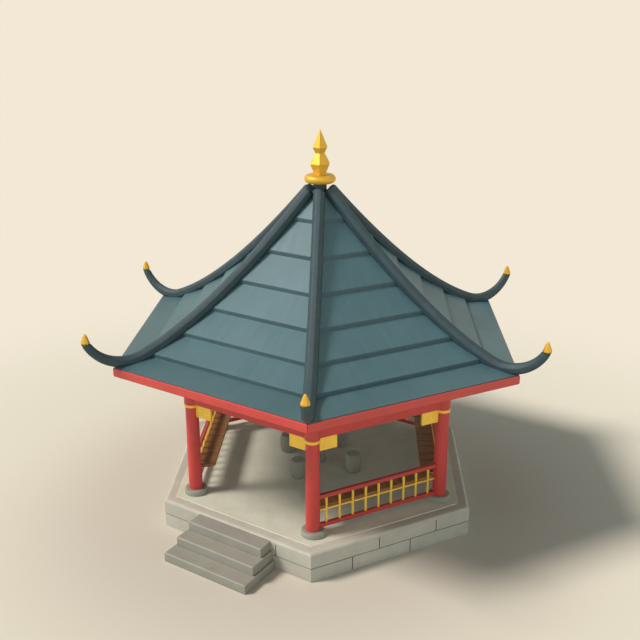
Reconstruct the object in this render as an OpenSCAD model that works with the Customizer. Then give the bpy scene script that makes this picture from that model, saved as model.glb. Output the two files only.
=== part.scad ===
// Hexagonal garden pavilion on a two-course stone platform with three steps.
// The origin is the centre of the platform's underside, +Z is up, and the
// entrance faces -Y. Sides are counted anticlockwise from the entrance, and
// corners are counted the same way from the one right of the entrance.

/* [Platform] */
// Distance from the column axes to the platform's corner
platform_margin = 766; // [600:2:1000]
// Height of the lower course of stone
lower_course_h = 325; // [200:5:500]
// Height of the upper course of stone, with its bevel
upper_course_h = 355; // [200:5:500]
// Bevel along the platform's upper edge
platform_bevel = 80; // [20:5:120]
// Depth and half height of the open bed joint between the two courses
joint_recess = 10; // [4:1:20]
// Distance from the floor slab's corner to the platform's corner
floor_inset = 280; // [200:5:360]
// Thickness of the floor slab
floor_t = 60; // [30:5:100]
// Height of the floor slab above the platform's margin
floor_proud = 12; // [5:1:25]
// Chamfer along the floor slab's edge
floor_chamfer = 8; // [2:1:10]

/* [Steps] */
// Rise of each of the three steps
step_rise = 215; // [150:5:220]
// Going of each step
step_going = 355; // [280:5:450]
// Width of the uppermost step
top_step_w = 1960; // [1200:20:2400]
// Extra width of each lower step on each side
step_spread = 55; // [0:5:120]
// Bevel on the edges of each tread
step_bevel = 30; // [10:2:45]

/* [Columns] */
// Circumradius of the ring that the column axes stand on
column_ring_r = 3234; // [2900:10:3300]
// Radius of a column just above its stone base
column_foot_r = 157; // [120:1:180]
// Radius of a column just below its collar
column_neck_r = 146; // [110:1:160]
// Radius of the thicker head that the beams run into
column_head_r = 165; // [150:1:200]
// Height of the collar's lower edge above the ground
collar_z = 2885; // [2600:5:3200]
// Height of the gilded collar
collar_h = 70; // [40:2:100]
// Width of the collar's band outside the column
collar_w = 22; // [10:1:30]
// Radius of the stone drum under each column
base_r = 260; // [200:5:300]
// Height of the stone drum
base_h = 125; // [80:5:200]
// Radius of the round on the drum's upper edge
base_round = 45; // [20:5:60]

/* [Beams] */
// Height of a tie beam between two columns
tie_h = 320; // [200:10:400]
// Thickness of a tie beam
tie_t = 180; // [120:5:240]
// Chamfer along the edges of a tie beam
tie_chamfer = 8; // [2:1:15]
// Height of the tie beams' underside above the collars' upper edge
tie_gap = 15; // [5:5:60]
// Length of a gilded bracket plate from the column's axis
bracket_len = 562; // [400:2:700]
// Height of a bracket plate
bracket_h = 325; // [200:5:400]
// Thickness of a bracket plate
bracket_t = 60; // [30:2:100]
// Bevel on the free end and lower edge of a bracket plate
bracket_bevel = 8; // [2:1:15]
// Thickness of the frieze boards above the tie beams
frieze_t = 40; // [20:2:60]
// Height of an eave beam at its outer face
eave_beam_h = 216; // [150:2:300]
// Width of an eave beam
eave_beam_w = 180; // [120:5:220]

/* [Roof] */
// Distance from the column axes to the roof's corner, outside the fascia
eave_overhang = 1690; // [1400:10:2000]
// Height of the eave's upper edge above the ground
eave_z = 4130; // [4050:10:4200]
// Height from the fascia's foot to the eave's upper edge
fascia_h = 210; // [160:5:260]
// Thickness of the fascia
fascia_t = 80; // [50:2:100]
// Bevel on the fascia's outer edges
fascia_bevel = 16; // [4:1:25]
// Thickness of the lowest plates where they cover the fascia
eave_plate_t = 18; // [8:1:30]
// Rise of the roof from the eave to its peak
roof_rise = 3580; // [3000:10:3800]
// Exponent of the roof's hollow curve
roof_power = 1.49; // [1.3:0.01:1.8]
// Number of plate courses on each slope
course_n = 7; // [5:1:9]
// Distance along a hip from the roof's axis to the first course's lower edge
first_course_r = 736; // [500:4:800]
// Growth of each course over the one above it, along a hip
course_growth = 8; // [0:2:40]
// Height of the lip that each course shows over the next
course_lip = 85; // [40:5:110]
// Thickness of the roof deck with its plates, measured straight down
roof_t = 90; // [60:5:130]
// Circumradius of the crown that closes the roof's peak
crown_r = 170; // [120:5:200]
// Height of the crown, most of it inside the roof
crown_h = 500; // [400:10:600]

/* [Rafters] */
// Depth of the common rafters
rafter_h = 80; // [60:5:120]
// Width of the common rafters
rafter_w = 70; // [40:5:100]
// Number of common rafters on each side
rafter_n = 5; // [1:2:7]
// Spacing of the common rafters
rafter_pitch = 650; // [400:10:700]
// Depth of the hip rafters
hip_rafter_h = 180; // [130:5:240]
// Width of the hip rafters
hip_rafter_w = 160; // [100:5:200]
// Radius of the king post
king_post_r = 130; // [100:5:140]
// Length of the king post under the crown
king_post_h = 975; // [700:5:1200]

/* [Hip ridges] */
// Width of a hip ridge between its flat sides
ridge_w = 270; // [200:5:300]
// Width of a hip ridge where its tip sits
ridge_end_w = 175; // [120:5:200]
// Depth that a ridge is bedded below the courses' lips
ridge_bed = 135; // [110:1:160]
// Distance along a hip from the roof's axis to a ridge's upper end
ridge_start_r = 225; // [215:5:300]
// Distance from the roof's corner at which a ridge starts to lift off the roof
ridge_lift_back = 700; // [500:10:900]
// Radius of the curve that lifts a ridge's end
ridge_lift_curve = 930; // [800:10:1100]
// Slope of a ridge at its very end, in degrees
ridge_end_slope = 65; // [50:1:75]
// Height of a gilded ridge tip
tip_h = 215; // [150:5:300]
// Greatest radius of a ridge tip
tip_r = 95; // [90:1:130]

/* [Finial] */
// Radius of the round disc under the finial
disc_r = 351; // [300:1:380]
// Height of the disc
disc_h = 180; // [120:5:220]
// Height of the finial above the disc
finial_h = 978; // [700:2:1200]
// Half width of the finial's lower bulb across its flats
lower_bulb_w = 212; // [150:2:260]
// Half width of the finial's upper bulb across its flats
upper_bulb_w = 160; // [110:2:200]
// Half width of the neck between the bulbs
finial_neck_w = 98; // [60:2:100]

/* [Balustrade] */
// Height of the top rail's upper face above the floor
rail_top_h = 908; // [700:2:1100]
// Height of the bottom rail's underside above the floor
rail_foot_h = 120; // [60:2:160]
// Width and height of a rail
rail_w = 90; // [60:2:120]
// Chamfer along the edges of a rail
rail_chamfer = 8; // [2:1:12]
// Number of upright lattice bars on each side
bar_n = 9; // [3:2:11]
// Width of an upright lattice bar
bar_w = 42; // [30:1:60]
// Width of the level lattice bar
mid_bar_w = 35; // [20:1:50]

/* [Bench] */
// Height of the bench's upper face above the floor
bench_h = 615; // [560:5:680]
// Thickness of the bench's board
bench_t = 65; // [40:2:90]
// Depth of the bench from the lattice
bench_d = 405; // [300:5:450]
// Chamfer along the bench's edges
bench_chamfer = 6; // [2:1:10]

/* [Table and stools] */
// Radius of the stone table's top
table_r = 400; // [300:5:450]
// Height of the stone table
table_h = 740; // [650:5:800]
// Thickness of the table's top
table_top_t = 80; // [50:5:120]
// Chamfer on the edges of the table's top
table_chamfer = 12; // [4:1:20]
// Radius of the table's pedestal at the floor
pedestal_r = 150; // [120:5:200]
// Distance of each stool from the table's axis
stool_ring_r = 950; // [850:10:1200]
// Height of a drum stool
stool_h = 465; // [380:5:500]
// Radius of a drum stool at its belly
stool_r = 205; // [160:5:220]
// Radius of a drum stool at its seat and foot
stool_end_r = 168; // [130:2:180]

/* [Hidden] */
$fn = 48;

seat_clearance = 0.3;              // between a round column and what fits round it
flat = cos(30);                    // apothem of a hexagon over its circumradius
joint_gap = 6;                     // open joint between two boards that share a node

platform_r = column_ring_r + platform_margin;
floor_r = platform_r - floor_inset;
margin_z = lower_course_h + upper_course_h;
floor_z = margin_z + floor_proud;
platform_flat = platform_r * flat;
side_half = column_ring_r / 2;     // half the distance between two columns
column_flat = column_ring_r * flat;
collar_r = column_neck_r + collar_w;
tie_z = collar_z + collar_h + tie_gap;
base_top_z = floor_z + base_h;
eave_r = column_ring_r + eave_overhang;
slope_flat = eave_r * flat - fascia_t;
slope_r = slope_flat / flat;
cover_flat = slope_flat + fascia_t - fascia_bevel;
crown_flat = crown_r * flat;
fascia_z = eave_z - eave_plate_t;
rafter_foot_z = eave_z - fascia_h + fascia_bevel;
roof_foot_z = eave_z - course_lip;
peak_z = roof_foot_z + roof_rise;
crown_z = peak_z - crown_h;
disc_z = peak_z;
finial_z = disc_z + disc_h;
rail_top_z = floor_z + rail_top_h;
rail_foot_z = floor_z + rail_foot_h;
lattice_z0 = rail_foot_z + rail_w;
lattice_z1 = rail_top_z - rail_w;
bench_top_z = floor_z + bench_h;
mid_bar_z = bench_top_z - bench_t - mid_bar_w / 2;

// Height of the roof's curve at a distance r from the axis, measured along a hip
function roof_z(r) =
    roof_foot_z + roof_rise * pow(max(0, 1 - r / slope_r), roof_power);
// Fall of the roof's curve at r, as an angle
function roof_fall(r) =
    atan(roof_rise * roof_power / slope_r * pow(max(0, 1 - r / slope_r), roof_power - 1));
// Distance along a hip to the lower edge of course i, from 0 at the crown
first_step = (slope_r - first_course_r - course_growth * (course_n - 1) * (course_n - 2) / 2)
    / (course_n - 1);
function course_r(i) = i == 0 ? crown_r
    : first_course_r + (i - 1) * first_step + course_growth * (i - 1) * (i - 2) / 2;
eave_beam_z = roof_z((column_flat + eave_beam_w / 2) / flat) - roof_t - rafter_h - eave_beam_h;
// Height at r of the deck's underside, dropped by a further depth but not below the fascia
function under_deck(r, drop) = let (z = roof_z(r) - roof_t)
    max(z - drop, min(z - fascia_bevel, rafter_foot_z));
// Line of such heights from the eave up to the crown
function deck_line(drop) =
    [for (i = [course_n:-1:0]) [course_r(i) * flat, under_deck(course_r(i), drop)]];

// Points of a quarter round of radius r about [cx, cy], from angle a0 to a1
function arc(cx, cy, r, a0, a1, n = 5) =
    [for (i = [0:n]) let (a = a0 + (a1 - a0) * i / n) [cx + r * cos(a), cy + r * sin(a)]];
// Rectangle from [x0, y0] to [x1, y1] with its corners cut by c
function chamfered(x0, y0, x1, y1, c) = [
    [x0 + c, y0], [x1 - c, y0], [x1, y0 + c], [x1, y1 - c],
    [x1 - c, y1], [x0 + c, y1], [x0, y1 - c], [x0, y0 + c]
];

// Turns a child that is drawn for the entrance side to side k
module at_side(k) { rotate([0, 0, 60 * k]) children(); }
// Turns a child that is drawn along +X to corner j
module at_corner(j) { rotate([0, 0, 60 * j - 60]) children(); }
// Extrudes a profile of [distance outwards, height] along the entrance side
module along_side(length) {
    rotate([90, 0, -90]) linear_extrude(height = length, center = true) children();
}
// Sector of the plan that belongs to the entrance side, drawn in by inset
module sector(z0, z1, inset = 0) {
    reach = 2 * eave_r;
    start = inset / sin(30);
    translate([0, -start, z0]) linear_extrude(height = z1 - z0)
        polygon([[0, 0], [-reach * tan(30), -reach], [reach * tan(30), -reach]]);
}
// Hexagonal solid whose half width across the flats follows [half width, z] points
module hex_turned(points) {
    outline = concat(points, [for (i = [len(points) - 1:-1:0]) [-points[i][0], points[i][1]]]);
    length = 4 * max([for (p = points) p[0]]);
    intersection_for (k = [0:2]) at_side(k) along_side(length) polygon(outline);
}
// Room that a column takes, with clearance, cut out of what meets it
module column_room() {
    g = seat_clearance;
    for (j = [0:5]) at_corner(j) translate([column_ring_r, 0, 0]) {
        translate([0, 0, floor_z]) cylinder(h = base_h, r = base_r + g);
        translate([0, 0, base_top_z])
            cylinder(h = collar_z - base_top_z, r1 = column_foot_r + g, r2 = column_neck_r + g);
        translate([0, 0, collar_z - g]) cylinder(h = collar_h + 2 * g, r = collar_r + g);
        translate([0, 0, collar_z + collar_h])
            cylinder(h = eave_beam_z - collar_z - collar_h + g, r = column_head_r + g);
    }
}

module platform_lower_course() {
    color("#a5a08f") {
        cylinder(h = lower_course_h - joint_recess, r = platform_r, $fn = 6);
        cylinder(h = lower_course_h, r = platform_r - joint_recess / flat, $fn = 6);
    }
}

// Bevelled edge of the upper course, as [distance from the axis, height]
platform_edge = [
    [platform_flat, margin_z - platform_bevel],
    [platform_flat - platform_bevel * 0.3, margin_z - platform_bevel * 0.3],
    [platform_flat - platform_bevel, margin_z]
];
module platform_upper_course() {
    color("#b0aa98") difference() {
        hex_turned(concat([
            [platform_flat - joint_recess, lower_course_h],
            [platform_flat - joint_recess, lower_course_h + joint_recess],
            [platform_flat, lower_course_h + joint_recess]
        ], platform_edge));
        hex_turned([[floor_r * flat, floor_z - floor_t], [floor_r * flat, floor_z]]);
    }
}

module floor_slab() {
    w = floor_r * flat;
    color("#cfc6b0") hex_turned([
        [w, floor_z - floor_t], [w, floor_z - floor_chamfer], [w - floor_chamfer, floor_z]
    ]);
}

// Tread number i, counted from the ground, laid against the platform
module step(i) {
    c = step_bevel;
    w = top_step_w / 2 + (2 - i) * step_spread;
    front = platform_flat + (3 - i) * step_going;
    z0 = i * step_rise;
    z1 = z0 + step_rise;
    back = platform_flat - platform_bevel;
    difference() {
        intersection() {
            along_side(2 * w) polygon([[back, z0], [front, z0], [front, z1 - c],
                [front - c, z1], [back, z1]]);
            rotate([90, 0, 0]) linear_extrude(height = front + c)
                polygon([[-w, z0], [w, z0], [w, z1 - c], [w - c, z1], [c - w, z1], [-w, z1 - c]]);
        }
        hex_turned(concat([[platform_flat, 0]], platform_edge));
    }
}
module step_lower() { color("#9c9484") step(0); }
module step_middle() { color("#9c9484") step(1); }
module step_upper() { color("#9c9484") step(2); }

module column_bases() {
    foot = base_round / 5;
    color("#a8a294") for (j = [0:5]) at_corner(j) translate([column_ring_r, 0, floor_z])
        rotate_extrude() polygon(concat([[0, 0], [base_r - foot, 0], [base_r, foot]],
            arc(base_r - base_round, base_h - base_round, base_round, 0, 90), [[0, base_h]]));
}

module columns() {
    color("#c8443c") for (j = [0:5]) at_corner(j) translate([column_ring_r, 0, 0])
        rotate_extrude() polygon([
            [0, base_top_z], [column_foot_r, base_top_z], [column_neck_r, collar_z],
            [column_neck_r, collar_z + collar_h], [column_head_r, collar_z + collar_h],
            [column_head_r, eave_beam_z], [0, eave_beam_z]
        ]);
}

module column_collars() {
    inner = column_neck_r + seat_clearance;
    round = collar_w * 0.7;
    color("#f0b63a") for (j = [0:5]) at_corner(j) translate([column_ring_r, 0, collar_z])
        rotate_extrude() polygon(concat([[inner, 0]],
            arc(collar_r - round, round, round, -90, 0, 3),
            arc(collar_r - round, collar_h - round, round, 0, 90, 3),
            [[inner, collar_h]]));
}

// One plate on each side of each column, under the tie beams
module bracket_plates() {
    c = bracket_bevel;
    color("#e0a93a") difference() {
        for (k = [0:5], m = [-1, 1]) at_side(k)
            translate([m * side_half, -column_flat + bracket_t / 2, 0])
            rotate([90, 0, 0]) linear_extrude(height = bracket_t)
                polygon([for (p = [[0, 0], [bracket_len - c, 0], [bracket_len, c],
                    [bracket_len, bracket_h], [0, bracket_h]]) [-m * p[0], tie_z - bracket_h + p[1]]]);
        column_room();
    }
}

module tie_beams() {
    color("#c03e36") for (k = [0:5]) at_side(k) difference() {
        along_side(2 * side_half) polygon(chamfered(column_flat - tie_t / 2, tie_z,
            column_flat + tie_t / 2, tie_z + tie_h, tie_chamfer));
        at_side(-k) column_room();
    }
}

module frieze_boards() {
    z0 = tie_z + tie_h;
    color("#b13a33") for (k = [0:5]) at_side(k) difference() {
        translate([-side_half, -column_flat - frieze_t / 2, z0])
            cube([2 * side_half, frieze_t, eave_beam_z - z0]);
        at_side(-k) column_room();
    }
}

// Region under the rafters of one side
module rafter_seat(drop) {
    line = deck_line(drop);
    top = line[len(line) - 1];
    along_side(4 * eave_r) polygon(concat([[-eave_r, 0], [slope_flat, 0]], line,
        [[-eave_r, top[1]]]));
}

module eave_beam() {
    inner = column_flat - eave_beam_w / 2;
    outer = column_flat + eave_beam_w / 2;
    intersection() {
        along_side(4 * side_half)
            polygon([[inner, eave_beam_z], [outer, eave_beam_z], [outer, peak_z], [inner, peak_z]]);
        rafter_seat(rafter_h);
        sector(0, peak_z, joint_gap / 2);
    }
}
module eave_beams() {
    color("#b13a33") for (k = [0:5]) at_side(k) eave_beam();
}

module common_rafters() {
    line = deck_line(0);
    lower = deck_line(rafter_h);
    outline = concat(line, [for (i = [len(lower) - 1:-1:0]) lower[i]]);
    first = -(rafter_n - 1) / 2;
    color("#8e3a30") for (k = [0:5]) at_side(k) intersection() {
        for (i = [0:rafter_n - 1]) translate([(first + i) * rafter_pitch, 0, 0])
            along_side(rafter_w) polygon(outline);
        sector(0, peak_z, hip_rafter_w / 2);
        king_post_room();
    }
}
// Everything outside the king post, for what runs up against it
module king_post_room() {
    difference() {
        cylinder(h = peak_z, r = 2 * eave_r);
        cylinder(h = 3 * peak_z, r = king_post_r + seat_clearance, center = true);
        hex_turned([[crown_flat, crown_z], [crown_flat, peak_z]]);
    }
}

// Hip rafters, backed to the two slopes that they carry and notched over the eave beams
module hip_rafters() {
    upper = [for (i = [course_n:-1:0]) [course_r(i), roof_z(course_r(i)) - roof_t]];
    lower = [for (i = [0:course_n]) [course_r(i), under_deck(course_r(i), hip_rafter_h)]];
    color("#8e3a30") difference() {
        for (j = [0:5]) at_corner(j) intersection() {
            rotate([90, 0, 0]) linear_extrude(height = hip_rafter_w, center = true)
                polygon(concat(upper, lower));
            at_side(1) rafter_seat(0);
            at_side(2) rafter_seat(0);
        }
        cylinder(h = peak_z, r = king_post_r + seat_clearance);
        for (k = [0:5]) at_side(k) eave_beam();
    }
}

module king_post() {
    color("#8e3a30") translate([0, 0, crown_z - king_post_h])
        cylinder(h = king_post_h, r = king_post_r);
}

// Fascia board of side k, mitred at its corners
module eave_fascia(k) {
    color("#d4514a") at_side(k) intersection() {
        along_side(2 * eave_r) polygon([
            [slope_flat, eave_z - fascia_h], [cover_flat, eave_z - fascia_h],
            [slope_flat + fascia_t, eave_z - fascia_h + fascia_bevel],
            [slope_flat + fascia_t, fascia_z - fascia_bevel],
            [cover_flat, fascia_z], [slope_flat, fascia_z]
        ]);
        sector(0, peak_z);
    }
}

// Outline of the flat plate courses, which lap over each other and cover the fascia
plate_line = [for (i = [0:course_n - 1], e = [0, 1]) let (r = course_r(i + e))
    [i + e == course_n ? cover_flat : r * flat, roof_z(r) + e * course_lip]];
// Slope of side k: the plate courses on their deck
module roof_slope(k) {
    color("#5f777b") at_side(k) intersection() {
        along_side(2 * eave_r) polygon(concat(plate_line,
            [[cover_flat, fascia_z], [slope_flat, fascia_z]], deck_line(0)));
        sector(0, 2 * peak_z);
    }
}
// Everything under the plate courses of one side, carried level to the axis and beyond
module under_plates() {
    along_side(4 * eave_r) polygon(concat([[cover_flat, 0], [-eave_r, 0],
        [-eave_r, plate_line[0][1]]], plate_line));
}

// Centre line of a hip ridge as [x, z, direction, half width across the flats]
ridge_seat = ridge_w / 2 + course_lip - ridge_bed;
ridge_lift_r = eave_r - ridge_lift_back;
function ridge_on_roof(r) = let (a = roof_fall(r))
    [r + ridge_seat * sin(a), roof_z(r) + ridge_seat * cos(a), -a, ridge_w / 2];
function ridge_in_air(t) = let (
        start = ridge_on_roof(ridge_lift_r),
        a = start[2] + (ridge_end_slope - start[2]) * t
    ) [
        start[0] + ridge_lift_curve * (sin(a) - sin(start[2])),
        start[1] + ridge_lift_curve * (cos(start[2]) - cos(a)),
        t < 1 ? a : 90,
        (ridge_w + (ridge_end_w - ridge_w) * t) / 2
    ];
function ridge_cap(back, share) = let (start = ridge_on_roof(ridge_start_r)) [
        start[0] - back * ridge_w * cos(start[2]), start[1] - back * ridge_w * sin(start[2]),
        start[2], share * start[3]
    ];
roof_rings = 16;
air_rings = 9;
ridge_path = concat(
    [ridge_cap(0.26, 0.5), ridge_cap(0.15, 0.86)],
    [for (i = [0:roof_rings]) ridge_on_roof(ridge_start_r
        + (ridge_lift_r - ridge_start_r) * i / roof_rings)],
    [for (i = [1:air_rings]) ridge_in_air(i / air_rings)]
);
ridge_sides = 8;
module ridge_bar() {
    n = ridge_sides;
    m = len(ridge_path);
    points = [for (p = ridge_path, i = [0:n - 1]) let (
            a = 360 * (i + 0.5) / n,
            r = p[3] / cos(180 / n),
            up = r * sin(a)
        ) [p[0] - up * sin(p[2]), r * cos(a), p[1] + up * cos(p[2])]];
    faces = concat(
        [[for (i = [0:n - 1]) i]],
        [for (s = [0:m - 2], i = [0:n - 1]) let (k = (i + 1) % n)
            [s * n + i, (s + 1) * n + i, (s + 1) * n + k, s * n + k]],
        [[for (i = [n - 1:-1:0]) (m - 1) * n + i]]
    );
    polyhedron(points = points, faces = faces);
}
// Ridge of corner j, bedded on the two slopes that meet under it
module hip_ridge(j) {
    color("#4e5a5c") difference() {
        at_corner(j) ridge_bar();
        intersection() {
            at_side(j) under_plates();
            at_side(j + 1) under_plates();
        }
    }
}

module ridge_tips() {
    seat = ridge_path[len(ridge_path) - 1];
    widen = tip_h / 7;
    color("#f0b63a") for (j = [0:5]) at_corner(j) translate([seat[0], 0, seat[1]]) {
        rotate_extrude($fn = 8) polygon([[0, 0], [ridge_end_w / 2, 0], [tip_r, widen],
            [tip_r * 0.5, tip_h * 0.75], [tip_r * 0.2, tip_h * 0.97], [0, tip_h]]);
    }
}

module roof_crown() {
    color("#4e5a5c") hex_turned([[crown_flat, crown_z], [crown_flat, disc_z]]);
}

module finial_disc() {
    round = disc_h / 2;
    color("#f0b63a") translate([0, 0, disc_z]) rotate_extrude()
        polygon(concat([[0, 0]], arc(disc_r - round, round, round, -90, 90, 10), [[0, disc_h]]));
}

// Two faceted bulbs and a point, six-sided like the roof
module finial_spire() {
    foot = lower_bulb_w * 0.66;
    color("#f0b63a") hex_turned([
        [foot, finial_z], [foot, finial_z + finial_h * 0.06],
        [lower_bulb_w, finial_z + finial_h * 0.245],
        [finial_neck_w, finial_z + finial_h * 0.487],
        [upper_bulb_w, finial_z + finial_h * 0.613],
        [upper_bulb_w * 0.06, finial_z + finial_h]
    ]);
}

// Top and bottom rail of each side but the entrance
module balustrade_rails() {
    w = rail_w / 2;
    color("#a02f2c") for (k = [1:5], z = [rail_foot_z, lattice_z1]) at_side(k) difference() {
        along_side(2 * side_half)
            polygon(chamfered(column_flat - w, z, column_flat + w, z + rail_w, rail_chamfer));
        at_side(-k) column_room();
    }
}

// Upright bars between the rails, crossed by one level bar
module lattice_panel(k) {
    pitch = 2 * side_half / (bar_n + 1);
    color("#e0a93a") at_side(k) difference() {
        union() {
            for (i = [1:bar_n]) translate([i * pitch - side_half - bar_w / 2,
                    -column_flat - bar_w / 2, lattice_z0])
                cube([bar_w, bar_w, lattice_z1 - lattice_z0]);
            translate([-side_half, -column_flat - mid_bar_w / 2, mid_bar_z - mid_bar_w / 2])
                cube([2 * side_half, mid_bar_w, mid_bar_w]);
        }
        at_side(-k) column_room();
    }
}

// One board along each side but the entrance, mitred to the next and housed round the columns
module bench_seats() {
    outer = column_flat - bar_w / 2;
    color("#8a5a3a") for (k = [1:5]) at_side(k) difference() {
        intersection() {
            along_side(2 * side_half - 2 * column_head_r) polygon(chamfered(outer - bench_d,
                bench_top_z - bench_t, outer, bench_top_z, bench_chamfer));
            sector(0, peak_z, joint_gap / 2);
        }
        at_side(-k) column_room();
    }
}

module stone_table() {
    neck_r = pedestal_r * 0.8;
    c = table_chamfer;
    color("#76766c") translate([0, 0, floor_z]) rotate_extrude() polygon([
        [0, 0], [pedestal_r, 0], [pedestal_r, table_h * 0.08], [neck_r, table_h * 0.2],
        [neck_r, table_h * 0.75], [pedestal_r * 1.2, table_h - table_top_t],
        [table_r - c, table_h - table_top_t], [table_r, table_h - table_top_t + c],
        [table_r, table_h - c], [table_r - c, table_h], [0, table_h]
    ]);
}

module drum_stools() {
    n = 10;
    belly = [for (i = [0:n]) let (t = i / n)
        [stool_end_r + (stool_r - stool_end_r) * sin(180 * t), stool_h * t]];
    color("#66665c") for (i = [0:3]) rotate([0, 0, 90 * i]) translate([stool_ring_r, 0, floor_z])
        rotate_extrude() polygon(concat([[0, 0]], belly, [[0, stool_h]]));
}

platform_lower_course();
platform_upper_course();
floor_slab();
step_lower();
step_middle();
step_upper();
column_bases();
columns();
column_collars();
bracket_plates();
tie_beams();
frieze_boards();
eave_beams();
common_rafters();
hip_rafters();
king_post();
eave_fascia(0);  // eave_fascia_1
eave_fascia(1);  // eave_fascia_2
eave_fascia(2);  // eave_fascia_3
eave_fascia(3);  // eave_fascia_4
eave_fascia(4);  // eave_fascia_5
eave_fascia(5);  // eave_fascia_6
roof_slope(0);  // roof_slope_1
roof_slope(1);  // roof_slope_2
roof_slope(2);  // roof_slope_3
roof_slope(3);  // roof_slope_4
roof_slope(4);  // roof_slope_5
roof_slope(5);  // roof_slope_6
hip_ridge(0);  // hip_ridge_1
hip_ridge(1);  // hip_ridge_2
hip_ridge(2);  // hip_ridge_3
hip_ridge(3);  // hip_ridge_4
hip_ridge(4);  // hip_ridge_5
hip_ridge(5);  // hip_ridge_6
ridge_tips();
roof_crown();
finial_disc();
finial_spire();
balustrade_rails();
lattice_panel(1);  // lattice_panel_1
lattice_panel(2);  // lattice_panel_2
lattice_panel(3);  // lattice_panel_3
lattice_panel(4);  // lattice_panel_4
lattice_panel(5);  // lattice_panel_5
bench_seats();
stone_table();
drum_stools();
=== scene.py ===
# Garden pavilion with a hexagonal slate roof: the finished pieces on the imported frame, in metres.
# The entrance faces -Y. A side's own directions are along it, out from the axis, and up.
import math
import bmesh
import bpy
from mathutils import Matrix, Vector


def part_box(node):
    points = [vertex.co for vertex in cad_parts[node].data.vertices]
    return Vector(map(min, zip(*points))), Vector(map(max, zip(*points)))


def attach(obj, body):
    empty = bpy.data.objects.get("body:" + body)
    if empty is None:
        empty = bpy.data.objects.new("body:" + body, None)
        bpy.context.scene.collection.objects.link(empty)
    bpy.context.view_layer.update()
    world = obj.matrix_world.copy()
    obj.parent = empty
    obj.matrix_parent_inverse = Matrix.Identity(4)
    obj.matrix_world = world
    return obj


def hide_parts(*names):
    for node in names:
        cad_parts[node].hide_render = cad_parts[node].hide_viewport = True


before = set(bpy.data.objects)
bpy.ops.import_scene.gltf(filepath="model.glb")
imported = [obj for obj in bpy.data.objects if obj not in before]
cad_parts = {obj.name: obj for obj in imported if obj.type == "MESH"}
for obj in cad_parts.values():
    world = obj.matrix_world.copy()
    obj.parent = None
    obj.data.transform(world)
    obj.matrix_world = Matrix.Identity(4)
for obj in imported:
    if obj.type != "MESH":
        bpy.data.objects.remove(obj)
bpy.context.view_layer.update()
print("frame:", len(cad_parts), "nodes")


def low(node):
    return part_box(node)[0]


def high(node):
    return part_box(node)[1]


# Measures that several pieces share
flat = math.cos(math.radians(30))            # half width across the flats over a hexagon's corner radius
platformR = high("platform_lower_course").x
platformFlat = platformR * flat
marginZ = high("platform_upper_course").z
floorR, floorZ = high("floor_slab").x, high("floor_slab").z
eaveR, fasciaTop = high("eave_fascia_1").x * 2, high("eave_fascia_1").z
otherSides = [60 * number for number in range(1, 6)]       # turns from the entrance side, in degrees
corners = [60 * number - 60 for number in range(6)]        # turns from the corner on +X
hexTurn, octTurn = 30, 22.5                  # put a flat side of a ring of 6 or 8 to the entrance
alike, hair = 0.99, 0.001                    # a cosine and a distance that count as no difference


# Tools for the meshes
def clearAll():
    if bpy.context.object and bpy.context.object.mode != "OBJECT":
        bpy.ops.object.mode_set(mode="OBJECT")
    bpy.ops.object.select_all(action="DESELECT")


def pickOnly(piece):
    clearAll()
    piece.select_set(True)
    bpy.context.view_layer.objects.active = piece


def edit(piece):
    pickOnly(piece)
    bpy.ops.object.mode_set(mode="EDIT")


def nameInHand(name):
    piece = bpy.context.object
    piece.name = piece.data.name = name
    return piece


def pickFaces(test):                         # test(middle, normal)
    bpy.ops.mesh.select_mode(type="FACE")
    mesh = bmesh.from_edit_mesh(bpy.context.object.data)
    for face in mesh.faces:
        face.select_set(bool(test(face.calc_center_median(), face.normal)))
    mesh.select_flush_mode()
    bmesh.update_edit_mesh(bpy.context.object.data)


def pickEdges(test):                         # test(middle, direction)
    bpy.ops.mesh.select_mode(type="EDGE")
    mesh = bmesh.from_edit_mesh(bpy.context.object.data)
    for edge in mesh.edges:
        start, end = edge.verts[0].co, edge.verts[1].co
        edge.select_set(bool(test((start + end) / 2, (end - start).normalized())))
    mesh.select_flush_mode()
    bmesh.update_edit_mesh(bpy.context.object.data)


def bevelPicked(width, segments):
    bpy.ops.mesh.bevel(offset=width, segments=segments, affect="EDGES")


def pullPicked(move):
    bpy.ops.mesh.extrude_region_move(TRANSFORM_OT_translate={"value": move})


def tidyShell():
    bpy.ops.mesh.select_mode(type="VERT")
    bpy.ops.mesh.select_all(action="SELECT")
    bpy.ops.mesh.remove_doubles(threshold=0.0001)
    bpy.ops.mesh.normals_make_consistent(inside=False)


# Stacks rings of (radius, height) on each other about one axis, and closes both ends
def stackRings(name, ringSides, rings, at=(0, 0), turn=0):
    clearAll()
    radius, height = rings[0]
    bpy.ops.mesh.primitive_circle_add(vertices=ringSides, radius=radius, fill_type="NGON",
                                      location=(*at, height), rotation=(0, 0, math.radians(turn)))
    piece = nameInHand(name)
    bpy.ops.object.transform_apply(location=True, rotation=True, scale=True)
    edit(piece)
    bpy.ops.mesh.select_all(action="SELECT")
    for newRadius, newHeight in rings[1:]:
        pullPicked((0, 0, newHeight - height))
        if newRadius != radius:
            ratio = newRadius / radius
            bpy.ops.transform.resize(value=(ratio, ratio, 1), center_override=(*at, newHeight))
        radius, height = newRadius, newHeight
    tidyShell()
    return piece


# Points (radius, height) of a quarter circle, from an upright wall over to a level top
def quarterRound(radius, top, curve, steps):
    turns = [math.pi / 2 * i / steps for i in range(steps + 1)]
    return [(radius - curve * (1 - math.cos(turn)), top - curve * (1 - math.sin(turn))) for turn in turns]


def cornerRadius(out):                       # of a hexagon whose flat sides lie this far out
    return out / flat


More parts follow.
